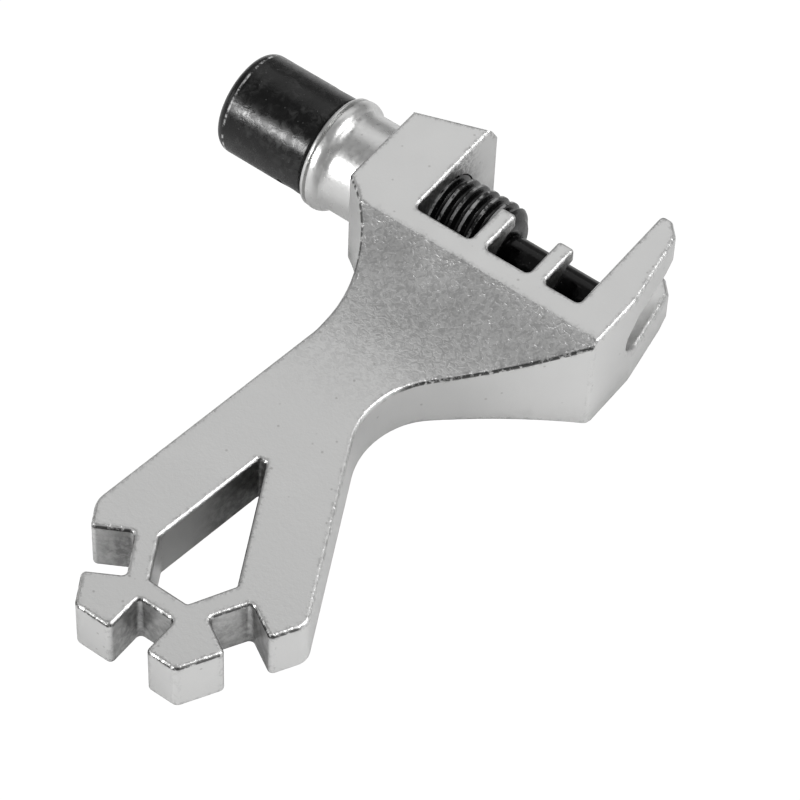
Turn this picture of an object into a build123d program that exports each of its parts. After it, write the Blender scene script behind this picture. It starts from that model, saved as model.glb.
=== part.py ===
from build123d import *
import math
import os

os.makedirs("parts", exist_ok=True)

# The tool lies on its back, with the flat back of its head on z = 0. X runs along
# the screw, from its black head to the jaw, and Y from the wrench end to the chain
# opening. The origin is under the screw axis, in the middle of the threaded tower.

# ---- driving dimensions, mm -------------------------------------------------
HEAD_THICKNESS = 10.8      # between the flat sides of the head
ARM_THICKNESS = 5.3

TOWER_LEFT = -3.2          # face that the boss stands on
TOWER_INNER = 3.25         # face towards the chain
TOWER_TOP = 7.4            # top of the tower at its inner face
TOWER_TOP_SLOPE = 20.0     # degrees, falling towards the boss
TOWER_CHAMFER_Y = 1.2
TOWER_CHAMFER_Z = 2.2
TOWER_INNER_ROUNDING = 0.25
TOWER_BOSS_ROUNDING = 1.6
TOWER_SHOULDER_ROUNDING = 0.6  # below the boss, where the hollow left edge begins

BASE_FLOOR = -4.5          # floor of the gaps between tower, teeth and jaw
CREASE = -6.75             # lower edge of the flat sides of the head
RAMP_END = -18.9           # where the hollow ramp has become the arm

JAW_INNER = 19.8
JAW_THICKNESS = 3.6
JAW_TIP = 7.45
JAW_SLOT_CLEARANCE = 0.25  # on each side of the push pin
JAW_LEAN = 1.35            # how far the outer face leans in at the prong tips
JAW_LEAN_START = -1.4      # where the outer face starts to lean
JAW_LEAN_MIDDLE = 4.6
JAW_SLOT_ROUNDING = 0.45   # of the slot's outer edges
JAW_SIDE_ROUNDING = 3.0    # of the bends of the jaw's outer face
HEEL_DROP = 0.6            # the heel's corner below the crease
HEEL_ROUNDING = 0.6

MAIN_GAP = 4.3             # jaw to the middle of the main tooth
TOOTH_SPACING = 5.9
TOOTH_THICKNESS = 1.6
TOOTH_TIP = -0.05
TOOTH_ROUNDING = 0.35
CRADLE_CLEARANCE = 0.28    # round slot for a chain roller, larger than the screw

BOSS_WALL = 0.6            # between the bore and the neck of the boss
BORE_CLEARANCE = 0.1       # between the thread's crests and the bore
LIP_FACE = -8.5
LIP_HEIGHT = 0.58          # of the round lip above the neck of the boss
LIP_LENGTH = 2.1
LIP_GROOVE = 0.38          # depth of the groove behind the first ring of the lip
LIP_OVERHANG = 0.48        # of the lip over the screw's head

WRENCH_X = 10.2            # middle of the half hexagon at the wrench end
WRENCH_Y = -42.6
HEX_INNER = 3.2            # middle to the lower sides of the kite opening
HEX_FLOOR = 5.1            # middle to the floors of the spoke notches
HEX_OUTER = 8.65           # middle to the outer ends of the prongs
KITE_HALF_WIDTH = 3.85
KITE_HEIGHT = 11.3         # middle to the apex of the kite opening
KITE_APEX_SHIFT = -2.05
NOTCH_WIDTHS = (4.2, 3.5, 3.65)
NOTCH_SHIFTS = (-0.44, 0.3, 1.0)
LEFT_PRONG_ROUNDING = 2.2
RIGHT_PRONG_ROUNDING = 1.6
PRONG_TIP_ROUNDING = 0.7
KITE_ROUNDING = 0.3

WAIST_LEFT = 3.3
WAIST_TURN_Y = -18.0       # where the left edge starts to flare
ARM_LEFT_FLARE = 7.5       # degrees
ARM_RIGHT_FLARE = 26.5     # degrees
LEFT_HOLLOW_RADIUS = 13.2
LEFT_HOLLOW_Y = -16.5
RIGHT_TURN = (10.2, -20.5)
RIGHT_HOLLOW_RADIUS = 7.6

SCREW_RADIUS = 3.92        # crests of the M8 x 1 thread
THREAD_DEPTH = 0.54
THREAD_PITCH = 1.0
THREAD_START = -0.5        # inside the threaded tower
SCREW_REACH = 0.1          # end of the screw at rest, past the middle of the front tooth
SCREW_END_CHAMFER = 0.8
HEAD_LENGTH = 9.4
HEAD_GAP = 0.1             # between the screw's head and the lip at rest
HEAD_RIM = 1.0
HEX_SOCKET = 5.0           # across flats
HEX_SOCKET_DEPTH = 4.2
SHANK_STEP = 0.88          # from the thread's root in to the shank inside the head
SHANK_LENGTH = 4.2
SHANK_CLEARANCE = 0.02
CROSS_PIN_RADIUS = 1.0
CROSS_PIN_PLACE = 1.9      # from the front face of the head
CROSS_PIN_ANGLE = 30.0     # degrees about the screw axis, from +Y
CROSS_PIN_SUNK = 0.1       # of each end of the cross pin below the head's surface
PUSH_PIN_RADIUS = 1.75
PUSH_PIN_REACH = 1.0       # past the inner face of the jaw at rest
PUSH_PIN_SOCKET = 5.0      # length of the pin held inside the screw
PUSH_PIN_CLEARANCE = 0.03

CAST_EDGE = 0.35           # rounding of the outer edges of the casting
CORNER = 0.45              # rounding of inner corners

# ---- worked out -------------------------------------------------------------
SCREW_Z = HEAD_THICKNESS / 2
JAW_OUTER = JAW_INNER + JAW_THICKNESS
JAW_SLOT_WIDTH = 2 * (PUSH_PIN_RADIUS + JAW_SLOT_CLEARANCE)
MAIN_TOOTH_X = JAW_INNER - MAIN_GAP
FRONT_TOOTH_X = MAIN_TOOTH_X - TOOTH_SPACING
CRADLE_RADIUS = SCREW_RADIUS + CRADLE_CLEARANCE
BORE_RADIUS = SCREW_RADIUS + BORE_CLEARANCE
BOSS_RADIUS = BORE_RADIUS + BOSS_WALL
LIP_RADIUS = BOSS_RADIUS + LIP_HEIGHT
HEAD_RADIUS = LIP_RADIUS - LIP_OVERHANG
HEAD_FACE = LIP_FACE - HEAD_GAP
SCREW_ROOT = SCREW_RADIUS - THREAD_DEPTH
SHANK_RADIUS = SCREW_ROOT - SHANK_STEP
SCREW_END = FRONT_TOOTH_X + SCREW_REACH
THREAD_LENGTH = SCREW_END - THREAD_START
PUSH_PIN_TIP = JAW_INNER + PUSH_PIN_REACH
WRENCH_MIDDLE = Vector(WRENCH_X, WRENCH_Y, 0)


# ---- helpers ----------------------------------------------------------------
def along_screw(shape, x):
    """A shape built about Z, laid along the screw axis and centred at x."""
    return Pos(x, 0, SCREW_Z) * (Rotation(0, 90, 0) * shape)


def turned(profile):
    """A solid turned about the screw axis from a closed outline of x and radius."""
    solid = revolve(make_face(profile), axis=Axis.X, revolution_arc=360)
    return Pos(0, 0, SCREW_Z) * solid


def flat(edge, height):
    """Whether an edge lies level at this height above or below the screw axis."""
    box = edge.bounding_box()
    level = box.max.Z - box.min.Z < 0.001
    return level and abs(abs(box.min.Z - SCREW_Z) - height) < 0.001


def soften(face, points, radius):
    """A flat face with its corners nearest to these points rounded."""
    corners = [face.vertices().sort_by_distance(Vector(x, y, 0))[0] for x, y in points]
    return fillet(corners, radius)


# ---- body casting -----------------------------------------------------------
def hex_point(distance, along, degrees):
    """A point outwards from the wrench middle at degrees, and along that side."""
    angle = math.radians(degrees)
    x = WRENCH_X + distance * math.cos(angle) - along * math.sin(angle)
    y = WRENCH_Y + distance * math.sin(angle) + along * math.cos(angle)
    return (x, y)


def edge_meets_side(start, flare, degrees):
    """Where an arm edge that flares from start meets one outer side of the hexagon."""
    angle = math.radians(degrees)
    out = Vector(math.cos(angle), math.sin(angle), 0)
    run = Vector(math.sin(math.radians(flare)), -math.cos(math.radians(flare)), 0)
    begin = Vector(*start, 0)
    step = (HEX_OUTER - (begin - WRENCH_MIDDLE).dot(out)) / run.dot(out)
    corner = begin + run * step
    return (corner.X, corner.Y)


def tower_left_top():
    """Height of the sloping tower top where it meets the boss face."""
    width = TOWER_INNER - TOWER_LEFT
    return TOWER_TOP - width * math.tan(math.radians(TOWER_TOP_SLOPE))


def front_outline():
    """The front view of the whole casting, without its notches and kite opening."""
    hollow_x = WAIST_LEFT - LEFT_HOLLOW_RADIUS
    reach = TOWER_LEFT - hollow_x
    rise = math.sqrt(LEFT_HOLLOW_RADIUS ** 2 - reach ** 2)
    turn = math.atan2(rise, reach) / 2
    shoulder = (TOWER_LEFT, LEFT_HOLLOW_Y + rise)
    middle = (hollow_x + LEFT_HOLLOW_RADIUS * math.cos(turn),
              LEFT_HOLLOW_Y + LEFT_HOLLOW_RADIUS * math.sin(turn))
    waist = (WAIST_LEFT, LEFT_HOLLOW_Y)
    left_turn = (WAIST_LEFT, WAIST_TURN_Y)
    left_prong = edge_meets_side(left_turn, -ARM_LEFT_FLARE, 210)
    right_prong = edge_meets_side(RIGHT_TURN, ARM_RIGHT_FLARE, 330)
    half_side = HEX_OUTER * math.tan(math.radians(30))
    left_tip = (WRENCH_X - half_side, WRENCH_Y - HEX_OUTER)
    right_tip = (WRENCH_X + half_side, WRENCH_Y - HEX_OUTER)
    heel = (JAW_OUTER, CREASE - HEEL_DROP)
    jaw_side = [(JAW_OUTER, JAW_LEAN_START), (JAW_OUTER - JAW_LEAN * 0.7, JAW_LEAN_MIDDLE),
                (JAW_OUTER - JAW_LEAN, JAW_TIP - 1.2)]
    jaw_tip = [(JAW_INNER + 1.1, JAW_TIP), (JAW_INNER, JAW_TIP)]
    gaps = [(JAW_INNER, BASE_FLOOR)]
    tooth_tips = []
    half = TOOTH_THICKNESS / 2
    for x in (MAIN_TOOTH_X, FRONT_TOOTH_X):
        tips = [(x + half, TOOTH_TIP), (x - half, TOOTH_TIP)]
        tooth_tips += tips
        gaps += [(x + half, BASE_FLOOR), *tips, (x - half, BASE_FLOOR)]
    gaps += [(TOWER_INNER, BASE_FLOOR)]
    tower_top = [(TOWER_INNER, TOWER_TOP), (TOWER_LEFT, tower_left_top())]
    outline = Polyline(waist, left_turn, left_prong, left_tip, right_tip, right_prong,
                       RIGHT_TURN, heel, *jaw_side, *jaw_tip, *gaps, *tower_top, shoulder)
    face = make_face(Curve() + [ThreePointArc(shoulder, middle, waist), outline])
    floors = [point for point in gaps if point not in tooth_tips]
    face = soften(face, [RIGHT_TURN], RIGHT_HOLLOW_RADIUS)
    face = soften(face, [left_prong], LEFT_PRONG_ROUNDING)
    face = soften(face, [right_prong], RIGHT_PRONG_ROUNDING)
    face = soften(face, [left_tip, right_tip], PRONG_TIP_ROUNDING)
    face = soften(face, [heel], HEEL_ROUNDING)
    face = soften(face, [left_turn, jaw_side[0], jaw_side[1]], JAW_SIDE_ROUNDING)
    face = soften(face, [jaw_side[2]] + jaw_tip, CORNER)
    face = soften(face, floors, CORNER)
    face = soften(face, tooth_tips, TOOTH_ROUNDING)
    face = soften(face, [shoulder], TOWER_SHOULDER_ROUNDING)
    face = soften(face, [tower_top[0]], TOWER_INNER_ROUNDING)
    return soften(face, [tower_top[1]], TOWER_BOSS_ROUNDING)


def kite_opening():
    """The long opening: a half hexagon below, and two straight sides to the apex."""
    half_side = HEX_INNER * math.tan(math.radians(30))
    apex_x = WRENCH_X + KITE_APEX_SHIFT
    apex_y = WRENCH_Y + KITE_HEIGHT
    points = [(WRENCH_X - half_side, WRENCH_Y - HEX_INNER),
              (WRENCH_X + half_side, WRENCH_Y - HEX_INNER),
              (WRENCH_X + KITE_HALF_WIDTH, WRENCH_Y + 0.5),
              (apex_x + 0.35, apex_y), (apex_x - 0.35, apex_y),
              (WRENCH_X - KITE_HALF_WIDTH, WRENCH_Y + 0.5)]
    face = make_face(Polyline(*points, close=True))
    return soften(face, points, KITE_ROUNDING)


def notch(width, shift, degrees):
    """One notch for a spoke nipple, open at the outer side of the half hexagon."""
    half = width / 2
    floor = [hex_point(HEX_FLOOR, shift - half, degrees), hex_point(HEX_FLOOR, shift + half, degrees)]
    mouth = [hex_point(HEX_OUTER + 4, shift + half, degrees),
             hex_point(HEX_OUTER + 4, shift - half, degrees)]
    face = make_face(Polyline(*floor, *mouth, close=True))
    return soften(face, floor, CORNER)


def notched_outline():
    """The front view with its notches, their outer corners rounded, and the opening."""
    face = front_outline()
    mouths = []
    for width, shift, degrees in zip(NOTCH_WIDTHS, NOTCH_SHIFTS, (210, 270, 330)):
        face = face - notch(width, shift, degrees)
        mouths += [hex_point(HEX_OUTER, shift - width / 2, degrees),
                   hex_point(HEX_OUTER, shift + width / 2, degrees)]
    face = soften(face.faces()[0], mouths, CORNER)
    return face - kite_opening()


def side_profile():
    """The side view: flat head, hollow ramp down to the arm, and thin arm."""
    half = HEAD_THICKNESS / 2
    arm = ARM_THICKNESS / 2
    far = WRENCH_Y - HEX_OUTER - 5
    near = max(TOWER_TOP, JAW_TIP) + 5
    rise = half - arm
    run = CREASE - RAMP_END
    radius = (run ** 2 + rise ** 2) / (2 * rise)
    middle_y = RAMP_END + run / 2
    middle_z = arm + radius - math.sqrt(radius ** 2 - (run / 2) ** 2)
    lines = [
        ThreePointArc((CREASE, half), (middle_y, middle_z), (RAMP_END, arm)),
        Polyline((RAMP_END, arm), (far, arm), (far, -arm), (RAMP_END, -arm)),
        ThreePointArc((RAMP_END, -arm), (middle_y, -middle_z), (CREASE, -half)),
        Polyline((CREASE, -half), (near, -half), (near, half), (CREASE, half)),
    ]
    face = make_face(Plane.YZ * (Curve() + lines))
    width = abs(WRENCH_X) + JAW_OUTER + 20
    return Pos(0, 0, SCREW_Z) * extrude(face, width, both=True)


def tower_chamfers():
    """Two wedges that take the long edges off the sloping top of the tower."""
    fall = math.tan(math.radians(TOWER_TOP_SLOPE))
    slope = Plane(origin=(TOWER_INNER, TOWER_TOP, SCREW_Z), x_dir=(-fall, 1, 0), z_dir=(1, fall, 0))
    half = HEAD_THICKNESS / 2
    start = half - TOWER_CHAMFER_Z
    length = (TOWER_INNER - TOWER_LEFT) * 1.5
    wedges = []
    for side in (-1, 1):
        face = make_face(slope * Polyline(
            (-TOWER_CHAMFER_Y, side * half), (0, side * start), (4, side * start),
            (4, side * (half + 3)), (-TOWER_CHAMFER_Y, side * (half + 3)), close=True))
        wedges.append(extrude(face, -length) + extrude(face, 1))
    return wedges


def jaw_slot():
    """The round-bottomed slot through the jaw, which the push pin passes into."""
    middle = (JAW_INNER + JAW_OUTER) / 2
    width = JAW_THICKNESS + 2
    height = JAW_TIP + 5
    floor = along_screw(Cylinder(JAW_SLOT_WIDTH / 2, width), middle)
    return floor + Pos(middle, height / 2, SCREW_Z) * Box(width, height, JAW_SLOT_WIDTH)


def on_slot_mouth(edge):
    """Whether an edge is where the slot comes out through the outer face of the jaw."""
    middle = edge.center()
    tip_face = JAW_OUTER - JAW_LEAN
    outside = middle.X > tip_face - 0.01 and edge.bounding_box().min.X > tip_face - 0.5
    beside_slot = abs(middle.Z - SCREW_Z) < JAW_SLOT_WIDTH / 2 + 0.01
    return outside and beside_slot and middle.Y < JAW_TIP - 1.5


def boss():
    """The turned collar on the tower: a grooved round lip, a hollow and a neck."""
    start = LIP_FACE
    ring = start + 0.5
    crest = start + 1.05
    hollow = start + LIP_LENGTH
    neck = hollow + 0.5
    inside = TOWER_LEFT + 1
    rim = HEAD_RADIUS + 0.1
    profile = Curve() + [
        Polyline((start, 0), (start, rim)),
        ThreePointArc((start, rim), (start + 0.12, rim + 0.26), (start + 0.38, LIP_RADIUS - 0.06)),
        Polyline((start + 0.38, LIP_RADIUS - 0.06), (ring, LIP_RADIUS - LIP_GROOVE),
                 (ring + 0.1, LIP_RADIUS - LIP_GROOVE), (ring + 0.26, LIP_RADIUS)),
        ThreePointArc((ring + 0.26, LIP_RADIUS), (crest + 0.27, LIP_RADIUS - 0.07),
                      (hollow - 0.3, BOSS_RADIUS + 0.18)),
        ThreePointArc((hollow - 0.3, BOSS_RADIUS + 0.18), (hollow + 0.02, BOSS_RADIUS + 0.03),
                      (neck, BOSS_RADIUS)),
        Polyline((neck, BOSS_RADIUS), (inside, BOSS_RADIUS), (inside, 0), (start, 0)),
    ]
    return turned(profile)


def tool_body():
    """The one-piece casting: tower and boss, teeth, jaw, arm and wrench end."""
    solid = extrude(notched_outline(), HEAD_THICKNESS) & side_profile()
    for wedge in tower_chamfers():
        solid = solid - wedge
    arm_edges = [edge for edge in solid.edges()
                 if flat(edge, ARM_THICKNESS / 2) and abs(edge.center().Y - RAMP_END) > 0.01]
    head_edges = [edge for edge in solid.edges()
                  if flat(edge, HEAD_THICKNESS / 2) and abs(edge.center().Y - CREASE) > 0.01]
    ramp_edges = [edge for edge in solid.edges()
                  if edge.bounding_box().size.Z > 1 and edge.bounding_box().size.Y > 5
                  and edge.bounding_box().max.Y < CREASE + 0.1]
    solid = fillet(arm_edges + head_edges + ramp_edges, CAST_EDGE)
    teeth_middle = (TOWER_INNER + JAW_INNER) / 2
    solid = solid - along_screw(Cylinder(CRADLE_RADIUS, JAW_INNER - TOWER_INNER), teeth_middle)
    solid = solid - jaw_slot() + boss()
    bore_length = TOWER_INNER - LIP_FACE + 2
    bore = along_screw(Cylinder(BORE_RADIUS, bore_length), (TOWER_INNER + LIP_FACE) / 2)
    solid = solid - bore
    mouth = [edge for edge in solid.edges() if on_slot_mouth(edge)]
    return fillet(mouth, JAW_SLOT_ROUNDING)


# ---- screw ------------------------------------------------------------------
def drive_screw():
    """The black screw: shank for its head, plain neck, and thread with a bored end."""
    root = SCREW_ROOT
    bevel = SCREW_END_CHAMFER
    core = turned(Polyline(
        (HEAD_FACE - SHANK_LENGTH, 0), (HEAD_FACE - SHANK_LENGTH, SHANK_RADIUS),
        (HEAD_FACE, SHANK_RADIUS), (HEAD_FACE, root), (SCREW_END - 0.35, root),
        (SCREW_END, root - 0.45), (SCREW_END, 0), close=True))
    depth = SCREW_RADIUS - root
    helix = Helix(pitch=THREAD_PITCH, height=THREAD_LENGTH - bevel, radius=root)
    start = Plane(origin=helix @ 0, x_dir=(1, 0, 0), z_dir=helix % 0)
    ridge = make_face(start * Polyline(
        (-0.15, -0.42), (depth, -0.07), (depth, 0.07), (-0.15, 0.42), close=True))
    thread = Rotation(0, 90, 0) * sweep(ridge, path=helix, is_frenet=True)
    thread = Pos(THREAD_START, 0, SCREW_Z) * thread
    socket_radius = PUSH_PIN_RADIUS + PUSH_PIN_CLEARANCE
    socket = along_screw(Cylinder(socket_radius, PUSH_PIN_SOCKET + 1),
                         SCREW_END - (PUSH_PIN_SOCKET - 1) / 2)
    return core + thread - socket - cross_drilling(CROSS_PIN_RADIUS + SHANK_CLEARANCE)


def cross_drilling(radius):
    """A round bar across the screw's head, at the place of the cross pin."""
    bar = Cylinder(radius, HEAD_RADIUS * 2 + 2)
    bar = Rotation(CROSS_PIN_ANGLE - 90, 0, 0) * bar
    return Pos(HEAD_FACE - CROSS_PIN_PLACE, 0, SCREW_Z) * bar


def screw_head():
    """The black round head, pinned on the shank, with a hexagon socket in its end."""
    end = HEAD_FACE - HEAD_LENGTH
    head = along_screw(Cylinder(HEAD_RADIUS, HEAD_LENGTH), (HEAD_FACE + end) / 2)
    rims = head.edges().filter_by(GeomType.CIRCLE).sort_by(Axis.X)
    head = fillet(rims[0], HEAD_RIM)
    head = chamfer(head.edges().filter_by(GeomType.CIRCLE).sort_by(Axis.X)[-1], 0.3)
    hexagon = RegularPolygon(HEX_SOCKET / 2, 6, major_radius=False)
    socket = along_screw(extrude(hexagon, HEX_SOCKET_DEPTH, both=True), end)
    corner = HEX_SOCKET / math.sqrt(3)
    mouth = along_screw(Cone(corner + 0.3, corner - 0.7, 1.0), end + 0.5 - 0.1)
    bore_depth = SHANK_LENGTH + 0.2
    bore = along_screw(Cylinder(SHANK_RADIUS + SHANK_CLEARANCE, bore_depth * 2), HEAD_FACE)
    return head - socket - mouth - bore - cross_drilling(CROSS_PIN_RADIUS + SHANK_CLEARANCE)


def cross_pin():
    """The pin that holds the head on the screw, just below the head's surface."""
    length = (HEAD_RADIUS - CROSS_PIN_SUNK) * 2
    bar = chamfer(Cylinder(CROSS_PIN_RADIUS, length).edges().filter_by(GeomType.CIRCLE), 0.15)
    bar = Rotation(CROSS_PIN_ANGLE - 90, 0, 0) * bar
    return Pos(HEAD_FACE - CROSS_PIN_PLACE, 0, SCREW_Z) * bar


def push_pin():
    """The hardened pin in the end of the screw, which drives the chain's rivet."""
    start = SCREW_END - PUSH_PIN_SOCKET + 0.05
    length = PUSH_PIN_TIP - start
    bar = along_screw(Cylinder(PUSH_PIN_RADIUS, length), (start + PUSH_PIN_TIP) / 2)
    return chamfer(bar.edges().filter_by(GeomType.CIRCLE), 0.25)


NODES = {
    "tool_body": tool_body,
    "drive_screw": drive_screw,
    "screw_head": screw_head,
    "cross_pin": cross_pin,
    "push_pin": push_pin,
}

for name, make in NODES.items():
    export_step(make(), f"parts/{name}.step")
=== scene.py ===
# %% [markdown]
# # A pocket chain tool
# The tool is one nickel-plated casting, with a black drive screw through its tower.
# The fixed frame already holds every piece at its real size. This lesson gives the
# pieces their finish, remakes the screw's thread as a smooth surface, and sets up a
# small studio around them.

# %% Load the frame
import math
import bpy
import numpy as np
from mathutils import Matrix, Vector


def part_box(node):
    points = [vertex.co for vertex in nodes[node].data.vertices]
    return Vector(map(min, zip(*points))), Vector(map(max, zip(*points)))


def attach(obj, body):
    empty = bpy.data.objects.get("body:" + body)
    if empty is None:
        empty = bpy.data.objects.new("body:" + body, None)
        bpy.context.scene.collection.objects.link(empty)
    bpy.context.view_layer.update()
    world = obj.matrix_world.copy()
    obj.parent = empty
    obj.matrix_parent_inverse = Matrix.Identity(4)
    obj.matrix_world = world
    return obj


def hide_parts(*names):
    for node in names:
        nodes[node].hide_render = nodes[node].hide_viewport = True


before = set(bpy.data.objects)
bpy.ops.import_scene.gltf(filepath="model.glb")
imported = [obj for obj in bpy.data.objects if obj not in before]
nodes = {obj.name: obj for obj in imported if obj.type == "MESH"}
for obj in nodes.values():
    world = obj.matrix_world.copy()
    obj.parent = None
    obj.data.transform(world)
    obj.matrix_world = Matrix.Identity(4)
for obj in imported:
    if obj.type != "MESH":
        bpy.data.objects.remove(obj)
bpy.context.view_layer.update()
MM = 0.001


def box_in_mm(node_name):
    """Lowest and highest corners of a node in millimetres, to the nearest hundredth."""
    return [[round(float(c) / MM, 2) for c in corner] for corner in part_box(node_name)]


for name in sorted(nodes):
    print(name, *box_in_mm(name))

# %% [markdown]
# ## Node helpers
# Every finish below is a chain of shader nodes. A few short helpers keep those chains
# readable: one adds a node and fills its sockets, the others are for the steps that
# repeat, such as a noise in millimetres or a soft threshold.

# %% Helpers for shader nodes


class Finish:
    """One material, with short ways to add the nodes that it needs."""

    def __init__(self, name):
        self.material = bpy.data.materials.new(name)
        self.material.use_nodes = True
        self.tree = self.material.node_tree
        self.tree.nodes.clear()
        self.output = self.add("ShaderNodeOutputMaterial")
        self.shader = self.add("ShaderNodeBsdfPrincipled")
        self.link(self.shader.outputs[0], self.output.inputs[0])
        where = self.add("ShaderNodeTexCoord").outputs["Object"]
        scale = self.add("ShaderNodeVectorMath", operation="SCALE")
        self.link(where, scale.inputs[0])
        scale.inputs["Scale"].default_value = 1 / MM
        self.place = scale.outputs[0]

    def add(self, kind, **settings):
        node = self.tree.nodes.new(kind)
        for name, value in settings.items():
            setattr(node, name, value)
        return node

    def link(self, source, target):
        if isinstance(source, bpy.types.NodeSocket):
            self.tree.links.new(source, target)
        else:
            target.default_value = source

    def set(self, **values):
        """Set shader sockets: names with _ for spaces, numbers or links."""
        for name, value in values.items():
            self.link(value, self.shader.inputs[name.replace("_", " ")])

    def math(self, operation, a, b=0.0):
        """One sum on two numbers, given as links or values."""
        node = self.add("ShaderNodeMath", operation=operation)
        self.link(a, node.inputs[0])
        self.link(b, node.inputs[1])
        return node.outputs[0]

    def times(self, a, b):
        """The product of two masks."""
        return self.math("MULTIPLY", a, b)

    def parts(self, vector):
        """The X, Y and Z of a vector link."""
        node = self.add("ShaderNodeSeparateXYZ")
        self.link(vector, node.inputs[0])
        return node.outputs["X"], node.outputs["Y"], node.outputs["Z"]

    def normal(self):
        """The direction that the surface faces."""
        return self.add("ShaderNodeNewGeometry").outputs["Normal"]

    def noise(self, size, detail, rough, distortion=0.0):
        """Cloudy noise from 0 to 1, whose lumps are about size millimetres wide."""
        node = self.add("ShaderNodeTexNoise")
        self.link(self.place, node.inputs["Vector"])
        node.inputs["Scale"].default_value = 1 / size
        node.inputs["Detail"].default_value = detail
        node.inputs["Roughness"].default_value = rough
        node.inputs["Distortion"].default_value = distortion
        return node.outputs["Fac"]

    def cells(self, size):
        """Distance to the nearest of scattered points, about size millimetres apart."""
        node = self.add("ShaderNodeTexVoronoi", feature="F1")
        self.link(self.place, node.inputs["Vector"])
        node.inputs["Scale"].default_value = 1 / size
        return node.outputs["Distance"]

    def between(self, value, low, high, out_low=0.0, out_high=1.0):
        """A smooth step: out_low below low, out_high above high."""
        node = self.add("ShaderNodeMapRange", interpolation_type="SMOOTHSTEP")
        for socket, item in zip(node.inputs, (value, low, high, out_low, out_high)):
            self.link(item, socket)
        return node.outputs[0]

    def mix(self, amount, a, b):
        """Blend two colours or two numbers given as links or values."""
        colour = isinstance(a, tuple) or (
            isinstance(a, bpy.types.NodeSocket) and a.type == "RGBA")
        node = self.add("ShaderNodeMix", data_type="RGBA" if colour else "FLOAT")
        pick = [s for s in node.inputs if s.enabled]
        self.link(amount, pick[0])
        for socket, item in zip(pick[1:], (a, b)):
            self.link((*item, 1.0) if isinstance(item, tuple) else item, socket)
        return next(s for s in node.outputs if s.enabled)

    def bump(self, height, depth, strength, under=None):
        """Raise the shading by height times depth millimetres."""
        node = self.add("ShaderNodeBump")
        self.link(height, node.inputs["Height"])
        node.inputs["Distance"].default_value = depth * MM
        self.link(strength, node.inputs["Strength"])
        if under is not None:
            self.link(under, node.inputs["Normal"])
        return node.outputs[0]

    def edges(self, radius, reach):
        """1 on sharp edges within radius millimetres, 0 on flat places."""
        rounded = self.add("ShaderNodeBevel", samples=6)
        rounded.inputs["Radius"].default_value = radius * MM
        dot = self.add("ShaderNodeVectorMath", operation="DOT_PRODUCT")
        self.link(rounded.outputs[0], dot.inputs[0])
        self.link(self.normal(), dot.inputs[1])
        return self.between(dot.outputs["Value"], 1.0, 1.0 - reach)

    def shut_in(self, reach):
        """1 in narrow openings, where walls stand within reach millimetres, 0 outside."""
        open_sky = self.add("ShaderNodeAmbientOcclusion", samples=8)
        open_sky.inputs["Distance"].default_value = reach * MM
        return self.between(open_sky.outputs["AO"], 0.92, 0.45)


def grey(value):
    """A neutral colour."""
    return (value, value, value)


def dress(node_name, finish):
    """Give a frame node one finish."""
    mesh = nodes[node_name].data
    mesh.materials.clear()
    mesh.materials.append(finish.material)
    print(finish.material.name, "on", node_name)


# %% [markdown]
# ## Cast nickel
# The body is cast in one piece, tumbled and nickel plated. The flat sides of its head
# are rubbed smooth, its ramp is pebbled by the mould, and the boss is turned bright in
# a lathe. A scanned texture would do for each, but noises of a few sizes are enough
# here, because the mould's grain has no direction. The place on the piece, in
# millimetres, decides how much of each noise shows.

# %% Where the casting is pebbled, and where it is turned
CREASE = -6.75             # lower edge of the head's flat sides
RAMP_FADES, RAMP_FULL = -27.0, -12.0
BOSS_BEGINS = -3.35
cast = Finish("cast_nickel")
across, along, _ = cast.parts(cast.place)
face_x, face_y, face_z = cast.parts(cast.normal())
turned = cast.between(across, BOSS_BEGINS, BOSS_BEGINS - 0.25)
not_turned = cast.mix(turned, 1.0, 0.0)
flatness = cast.between(cast.math("ABSOLUTE", face_z), 0.55, 0.85)
ragged = cast.times(cast.math("SUBTRACT", cast.noise(0.7, 3.0, 0.7), 0.5), 1.6)
wandering = cast.math("ADD", along, ragged)
below_crease = cast.between(wandering, CREASE + 0.55, CREASE - 0.25)
pebbled = cast.times(below_crease, flatness)
ramp = cast.times(pebbled, cast.between(along, RAMP_FADES, RAMP_FULL))
print("pebbled below y =", CREASE, "and turned left of x =", BOSS_BEGINS)

# %% [markdown]
# The walls between tower, teeth and jaw are left as the mould made them, because no
# wheel reaches in to rub them. They are found by their place, and by facing sideways.

# %% Rough walls of the chain opening
JAW_INNER = 19.8
GAP_FLOOR = -4.5           # floor of the gaps between tower, teeth and jaw
sideways = cast.between(cast.math("ABSOLUTE", face_x), 0.6, 0.9)
in_gaps = cast.times(cast.between(across, 0.0, 3.0),
                     cast.between(across, JAW_INNER - 0.5, JAW_INNER - 1.5))
above_floor = cast.times(cast.between(along, 5.0, 2.5),
                         cast.between(along, GAP_FLOOR - 0.2, GAP_FLOOR + 0.2))
gap_walls = cast.times(cast.times(sideways, in_gaps), above_floor)
print("rough walls from x = 0 to", JAW_INNER, "above y =", GAP_FLOOR)
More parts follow.
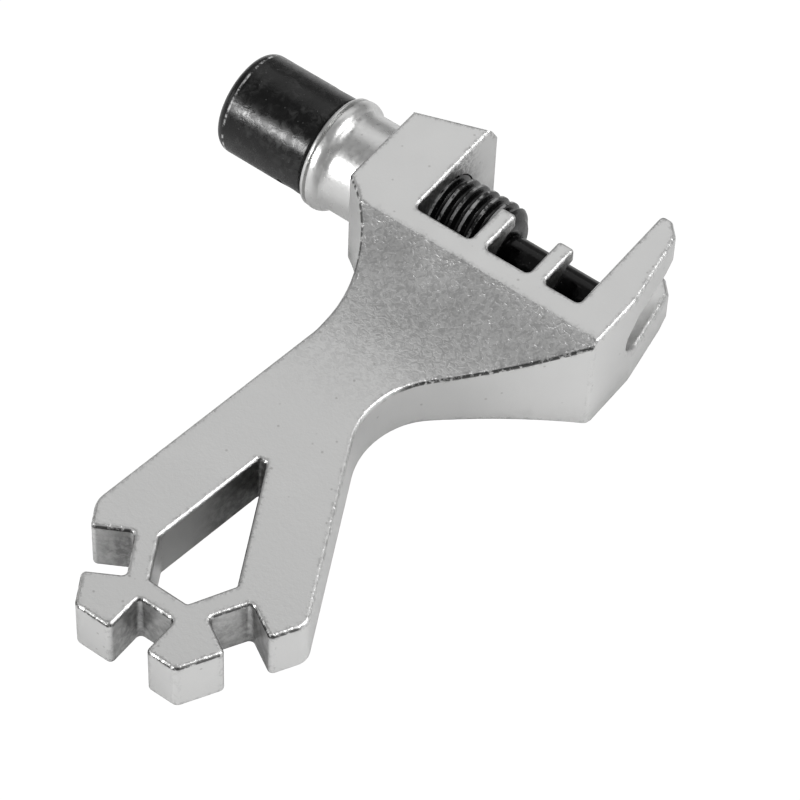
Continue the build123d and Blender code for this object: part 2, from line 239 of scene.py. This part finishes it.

# %% [markdown]
# Knocks chip the plating along the edges. A soft normal, taken as if the edges were
# rounded, differs from the true one only near an edge, so their dot product finds
# every edge without any drawing. The bends that face the wrench end also get a broken
# dark line of painted shade.

# %% Chipped edges, painted edge shade and painted shade in the openings
chips = cast.noise(0.50, 2.5, 0.7)
worn = cast.times(cast.edges(0.75, 0.035), not_turned)
bend = cast.times(cast.between(face_z, 0.92, 0.74), cast.between(face_z, 0.02, 0.30))
lower_bend = cast.times(cast.times(bend, cast.between(face_y, -0.20, -0.50)), not_turned)
# Painted shade: a broken dark line on the lower half of the bends that face the wrench end.
painted_edge_shade = cast.times(lower_bend, cast.between(chips, 0.36, 0.52, 0.1, 1.0))
chips_and_edge_shade = cast.times(worn, cast.between(chips, 0.52, 0.60, 0.0, 0.5))
chips_and_edge_shade = cast.math("MAXIMUM", chips_and_edge_shade, painted_edge_shade)
# Painted shade: darker where walls close in, full inside the chain opening, weaker in the jaw
# slot, broken into patches.
shade_weight = cast.times(not_turned, cast.between(across, JAW_INNER + 0.5, JAW_INNER, 0.35, 1.0))
patchy = cast.between(cast.noise(0.8, 3.0, 0.7), 0.3, 0.65, 0.35, 0.8)
painted_shade = cast.times(cast.times(cast.shut_in(5.0), shade_weight), patchy)

# %% [markdown]
# Nickel varies a little from place to place, more so where the mould left it dull.
# Each layer of colour lies over the one before: clouds, ramp, its wormy relief, pits,
# painted shade in the openings, chips with a painted dark edge line, and speckle on
# the rough walls.

# %% Colour of the casting
DARK_NICKEL, LIGHT_NICKEL = (0.59, 0.59, 0.585), (0.65, 0.65, 0.645)
PIT_COLOUR = (0.22, 0.21, 0.20)
clouds = cast.noise(5.0, 3.0, 0.55)
worms = cast.noise(0.50, 2.0, 0.6, distortion=1.2)
speckle = cast.noise(0.32, 2.0, 0.7)
pits = cast.between(cast.cells(1.6), 0.10, 0.04)
tone = cast.mix(clouds, DARK_NICKEL, LIGHT_NICKEL)
tone = cast.mix(cast.times(ramp, 0.35), tone, grey(0.50))
tone = cast.mix(cast.times(ramp, cast.between(worms, 0.42, 0.62, 0.0, 0.38)), tone, grey(0.26))
tone = cast.mix(cast.times(pits, 0.4), tone, PIT_COLOUR)
# Painted shade in the openings.
tone = cast.mix(painted_shade, tone, grey(0.10))
# Real wear chips and the painted dark edge line darken the edges.
tone = cast.mix(cast.times(chips_and_edge_shade, 0.9), tone, grey(0.035))
dots = cast.between(speckle, 0.47, 0.56, 0.0, 0.6)
tone = cast.mix(cast.times(gap_walls, dots), tone, grey(0.16))

# %% Roughness and relief of the casting
grain = cast.noise(0.40, 2.0, 0.6)
fine = cast.noise(0.14, 1.0, 0.5)
rough = cast.mix(pebbled, 0.34, 0.40)
rough = cast.math("ADD", rough, cast.times(cast.math("SUBTRACT", clouds, 0.5), 0.25))
rough = cast.mix(turned, rough, cast.between(chips, 0.3, 0.7, 0.27, 0.38))
relief = cast.bump(worms, 0.06, cast.times(pebbled, cast.mix(ramp, 0.12, 1.0)))
relief = cast.bump(grain, 0.04, cast.mix(pebbled, 0.22, cast.mix(ramp, 0.3, 0.5)), relief)
relief = cast.bump(speckle, 0.10, cast.times(gap_walls, 0.8), relief)
relief = cast.bump(chips, 0.16, cast.times(worn, 0.9), relief)
relief = cast.bump(fine, 0.008, cast.mix(turned, 0.5, 0.3), relief)
cast.set(Base_Color=tone, Metallic=1.0, Roughness=rough, Normal=relief)
dress("tool_body", cast)

# %% [markdown]
# ## The drive screw
# The screw is a steel bar with a thread rolled on its end. A thread can be swept
# along a helix, but its ends then need cutting. Here it is one grid instead: the
# radius at each angle and place along the axis follows from how far that point is
# from the nearest crest, and the crests fade where the thread starts and ends.

# %% Where the screw lies
screw_low, screw_high = box_in_mm("drive_screw")
head_low, head_high = box_in_mm("screw_head")
pin_low, pin_high = box_in_mm("push_pin")
SCREW_Z = round((screw_low[2] + screw_high[2]) / 2, 2)
CREST = (screw_high[1] - screw_low[1]) / 2
SHANK_END, SCREW_END = screw_low[0], screw_high[0]
SHOULDER = head_high[0]
PIN_HOLE_END = pin_low[0]
print("screw axis at height", SCREW_Z, "and crests at radius", CREST)

# %% Grids into meshes


def closed_grid(name, x, radius, angles):
    """A closed skin about the screw axis.

    Ring i lies at x[i]; at angle a its point is (x, radius cos a, axis height +
    radius sin a). Neighbouring rings are joined by squares, and each end is closed
    by one flat face."""
    rings, steps = radius.shape
    points = np.empty((rings, steps, 3))
    points[..., 0] = x
    points[..., 1] = radius * np.cos(angles)
    points[..., 2] = radius * np.sin(angles) + SCREW_Z
    index = np.arange(rings * steps).reshape(rings, steps)
    here, there = index[:-1], index[1:]
    squares = np.stack([here, there, np.roll(there, -1, 1), np.roll(here, -1, 1)], -1)
    squares = squares.reshape(-1, 4)
    caps = [index[0].tolist(), index[-1][::-1].tolist()]
    mesh = bpy.data.meshes.new(name)
    mesh.from_pydata((points.reshape(-1, 3) * MM).tolist(), [], squares.tolist() + caps)
    mesh.polygons.foreach_set("use_smooth", np.r_[np.ones(len(squares), bool), [False, False]])
    mesh.update()
    piece = bpy.data.objects.new(name, mesh)
    bpy.context.scene.collection.objects.link(piece)
    return piece


# %% Screw with its thread
PITCH = 1.0
ROOT, SHANK, PIN_HOLE = 3.38, 2.5, 1.78        # radii
THREAD_START = -0.5
FADE_IN, FADE_OUT = 0.8, 0.75                  # lengths over which the crests fade
PLAIN_END = 0.12                               # past the last crest
BEVEL_LENGTH, BEVEL_DEPTH = 0.35, 0.42


def screw_skin(steps_per_turn=180, rows_per_pitch=22):
    """The threaded bar from its shank to its end, then in along the pin's hole.

    Along the thread the radius is root + depth * crest, where crest is a rounded
    trapezoid of the distance to the nearest helix turn: (x / pitch - a / 2 pi) less
    its nearest whole number. It fades evenly over most of a turn at each end."""
    angles = np.linspace(0, 2 * np.pi, steps_per_turn, endpoint=False)
    rows = int((SCREW_END - THREAD_START) / PITCH * rows_per_pitch)
    thread_x = np.linspace(THREAD_START, SCREW_END, rows)[:, None]
    phase = thread_x / PITCH - angles / (2 * np.pi)
    away = np.abs(phase - np.round(phase)) * 2
    crest = np.clip((0.84 - away) / 0.62, 0, 1)
    crest = crest * crest * (3 - 2 * crest)
    start = np.clip((thread_x - THREAD_START) / FADE_IN, 0, 1)
    end = np.clip((SCREW_END - PLAIN_END - thread_x) / FADE_OUT, 0, 1)
    height = np.minimum(crest * start, crest * end)
    into_bevel = np.clip((thread_x - (SCREW_END - BEVEL_LENGTH)) / BEVEL_LENGTH, 0, 1)
    bevel = into_bevel * BEVEL_DEPTH
    thread = ROOT - bevel + (CREST - ROOT) * height
    before = [(SHANK_END, 0.01), (SHANK_END, SHANK - 0.2), (SHANK_END + 0.2, SHANK),
              (SHOULDER, SHANK), (SHOULDER, ROOT - 0.05), (SHOULDER + 0.05, ROOT)]
    after = [(SCREW_END, 2.2), (SCREW_END, PIN_HOLE), (PIN_HOLE_END, PIN_HOLE),
             (PIN_HOLE_END, 0.01)]
    x = np.concatenate([[p[0] for p in before], thread_x[:, 0], [p[0] for p in after]])
    one = np.ones(steps_per_turn)
    radius = np.vstack([np.outer([p[1] for p in before], one), thread,
                        np.outer([p[1] for p in after], one)])
    return x[:, None] * one, radius, angles


screw = closed_grid("threaded_screw", *screw_skin())
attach(screw, "screw")
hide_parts("drive_screw")
print("thread squares:", len(screw.data.polygons))

# %% [markdown]
# ## Black oxide
# Screw, head and pins are steel turned black in a hot bath. The film is thin and
# keeps the shine of the steel, with scuffs where fingers have rubbed it. It wears
# through first on the rim of the head. The crests of the thread are lightened as wear
# and as a painted highlight. Rim and crests are found by their place along the screw
# axis and their distance from it.

# %% Black oxide
def black_oxide(name, base, roughness, scuffs, lump, shine):
    """Black steel: a dark satin film, rubbed to grey in cloudy scuffs."""
    steel = Finish(name)
    cloud = steel.noise(lump, 4.0, 0.65, distortion=0.6)
    patch = steel.between(steel.noise(lump * 2.4, 2.0, 0.5), 0.40, 0.62)
    rubbed = steel.times(steel.between(cloud, 0.40, 0.72), patch)
    fleck = steel.between(steel.cells(0.6), 0.12, 0.05)
    colour = steel.mix(steel.times(rubbed, scuffs), (base, base, base * 1.03), grey(0.020))
    colour = steel.mix(steel.times(fleck, 0.15), colour, grey(0.3))
    fine = steel.noise(0.18, 2.0, 0.6)
    rough = steel.math("ADD", steel.times(cloud, 0.60), roughness - 0.30)
    normal = steel.bump(fine, 0.010, 0.7)
    normal = steel.bump(cloud, 0.035, 0.5, normal)
    steel.set(Base_Color=colour, Metallic=0.0, Roughness=rough, Normal=normal)
    steel.shader.inputs["IOR"].default_value = shine
    return steel, colour


def lighten_line(steel, colour, line, lighter_grey):
    """Lighten the black film towards grey, in broken stretches of a line: wear, and on the
    thread's crests also a painted highlight.
    """
    broken = steel.between(steel.noise(1.2, 3.0, 0.7), 0.42, 0.58)
    steel.set(Base_Color=steel.mix(steel.times(line, broken), colour, grey(lighter_grey)))


def rim_line(steel, x, width):
    """A ring round the screw axis at x millimetres."""
    place_x, _, _ = steel.parts(steel.place)
    away = steel.math("ABSOLUTE", steel.math("SUBTRACT", place_x, x))
    return steel.between(away, width, width * 0.3)


def crest_line(steel, low, high):
    """0 below low and 1 above high millimetres from the screw axis.

    The distance is sqrt(y^2 + (z - axis height)^2)."""
    _, beside, height = steel.parts(steel.place)
    above = steel.math("SUBTRACT", height, SCREW_Z)
    squares = steel.math("ADD", steel.math("POWER", above, 2.0), steel.times(beside, beside))
    return steel.between(steel.math("SQRT", squares), low, high)


# %% Black steel on head, screw and pins
head_black, head_colour = black_oxide("black_oxide_head", 0.001, 0.27, 1.0, 0.7, 1.38)
HEAD_RIM = 1.0             # rounding of the head's outer end
lighten_line(head_black, head_colour, rim_line(head_black, head_low[0] + HEAD_RIM, 0.14), 0.40)
screw_black, screw_colour = black_oxide("black_oxide", 0.002, 0.22, 0.3, 0.6, 1.4)
# The thread's crests are lightened: partly wear, partly a painted highlight.
lighten_line(screw_black, screw_colour, crest_line(screw_black, CREST - 0.02, CREST - 0.002), 0.22)
pin_black, _ = black_oxide("hardened_black", 0.001, 0.12, 0.15, 0.8, 1.3)
dress("screw_head", head_black)
dress("cross_pin", head_black)
dress("push_pin", pin_black)
screw.data.materials.append(screw_black.material)

# %% [markdown]
# ## Studio
# A white table, a grey room, and five soft boxes. Bright metal shows what it mirrors,
# so each box is placed for one set of faces: the back box for the flat upper sides,
# the left box for the streak along the head and boss, and the others for the sides
# and edges. The room stays dark overhead, which gives the ramp and the black head
# their depth. The table is two sheets: the camera sees a glowing one, and the metal
# mirrors and shades a darker one.

# %% Table
def sheet_of_paper(name, brightness, glow):
    """A large square of white paper on z = 0, which may glow."""
    reach = 3.0
    corners = [(-reach, -reach, 0), (reach, -reach, 0), (reach, reach, 0), (-reach, reach, 0)]
    mesh = bpy.data.meshes.new(name)
    mesh.from_pydata(corners, [], [(0, 1, 2, 3)])
    paper = Finish(name)
    paper.set(Base_Color=(brightness, brightness, brightness, 1.0), Roughness=0.9,
              Specular_IOR_Level=0.0, Emission_Color=(1, 1, 1, 1), Emission_Strength=glow)
    mesh.materials.append(paper.material)
    table = bpy.data.objects.new(name, mesh)
    bpy.context.scene.collection.objects.link(table)
    return table


seen_table = sheet_of_paper("seen_table", 0.25, 0.97)
seen_table.visible_glossy = False
seen_table.visible_diffuse = False
seen_table.visible_shadow = False
lit_table = sheet_of_paper("lit_table", 0.80, 0.03)
lit_table.visible_camera = False
print("tables:", seen_table.name, lit_table.name)


# %% Lights
LIGHT_DISTANCE = 0.8
TOOL_MIDDLE = Vector((0.012, -0.018, 0.0054))


def direction(azimuth, elevation):
    """Unit vector from the tool, both in radians; azimuth 0 is the wrench end's side."""
    level = math.cos(elevation)
    return Vector((math.sin(azimuth) * level, -math.cos(azimuth) * level, math.sin(elevation)))


def soft_box(name, azimuth, elevation, size, brightness):
    """A rectangular light that looks at the tool from azimuth and elevation in degrees.

    Its power is brightness times pi times its area, so brightness is what a mirror
    on the tool shows of it."""
    out = direction(math.radians(azimuth), math.radians(elevation))
    lamp = bpy.data.lights.new(name, "AREA")
    lamp.shape = "RECTANGLE"
    lamp.size, lamp.size_y = size
    lamp.energy = brightness * math.pi * size[0] * size[1]
    holder = bpy.data.objects.new(name, lamp)
    holder.location = TOOL_MIDDLE + out * LIGHT_DISTANCE
    holder.rotation_euler = out.to_track_quat("Z", "Y").to_euler()
    bpy.context.scene.collection.objects.link(holder)
    print("soft box", name)


soft_box("back_box", 213, 47, (0.75, 0.44), 0.70)
soft_box("left_box", -24, 25, (0.22, 0.18), 36.0)
soft_box("left_card", -62, 20, (0.40, 0.26), 1.6)
soft_box("right_box", 115, 22, (0.40, 0.25), 2.2)
soft_box("key_box", 120, 54, (0.34, 0.30), 10.5)

# %% Room
world = bpy.data.worlds.new("studio")
bpy.context.scene.world = world
world.use_nodes = True
background = world.node_tree.nodes["Background"]
background.inputs["Color"].default_value = (1, 1, 1, 1)
background.inputs["Strength"].default_value = 0.34

# %% [markdown]
# ## Camera
# A long lens looks down at the tool from the wrench end, a little from the right, so
# that the head's flat side, the boss and the chain opening all show. The camera is
# rolled by a few degrees, like one held in the hand.

# %% Camera
AIM = Vector((0.011965, -0.018056, 0.0054))
CAMERA_DISTANCE = 0.33663
AZIMUTH, ELEVATION, ROLL = math.radians(34.710), math.radians(52.369), math.radians(2.681)

camera_data = bpy.data.cameras.new("camera")
camera_data.sensor_width = 36.0
camera_data.lens = 186.17
camera_data.clip_start = 0.01
camera = bpy.data.objects.new("camera", camera_data)
bpy.context.scene.collection.objects.link(camera)
bpy.context.scene.camera = camera
out = direction(AZIMUTH, ELEVATION)
camera.location = AIM + out * CAMERA_DISTANCE
level_frame = out.to_track_quat("Z", "Y").to_matrix()
right, up = level_frame.col[0].copy(), level_frame.col[1].copy()
rolled_right = right * math.cos(ROLL) + up * math.sin(ROLL)
rolled_up = up * math.cos(ROLL) - right * math.sin(ROLL)
camera.rotation_euler = Matrix((rolled_right, rolled_up, out)).transposed().to_euler()
print("camera at", [round(c, 3) for c in camera.location])

view = bpy.context.scene.view_settings
view.view_transform = "Standard"
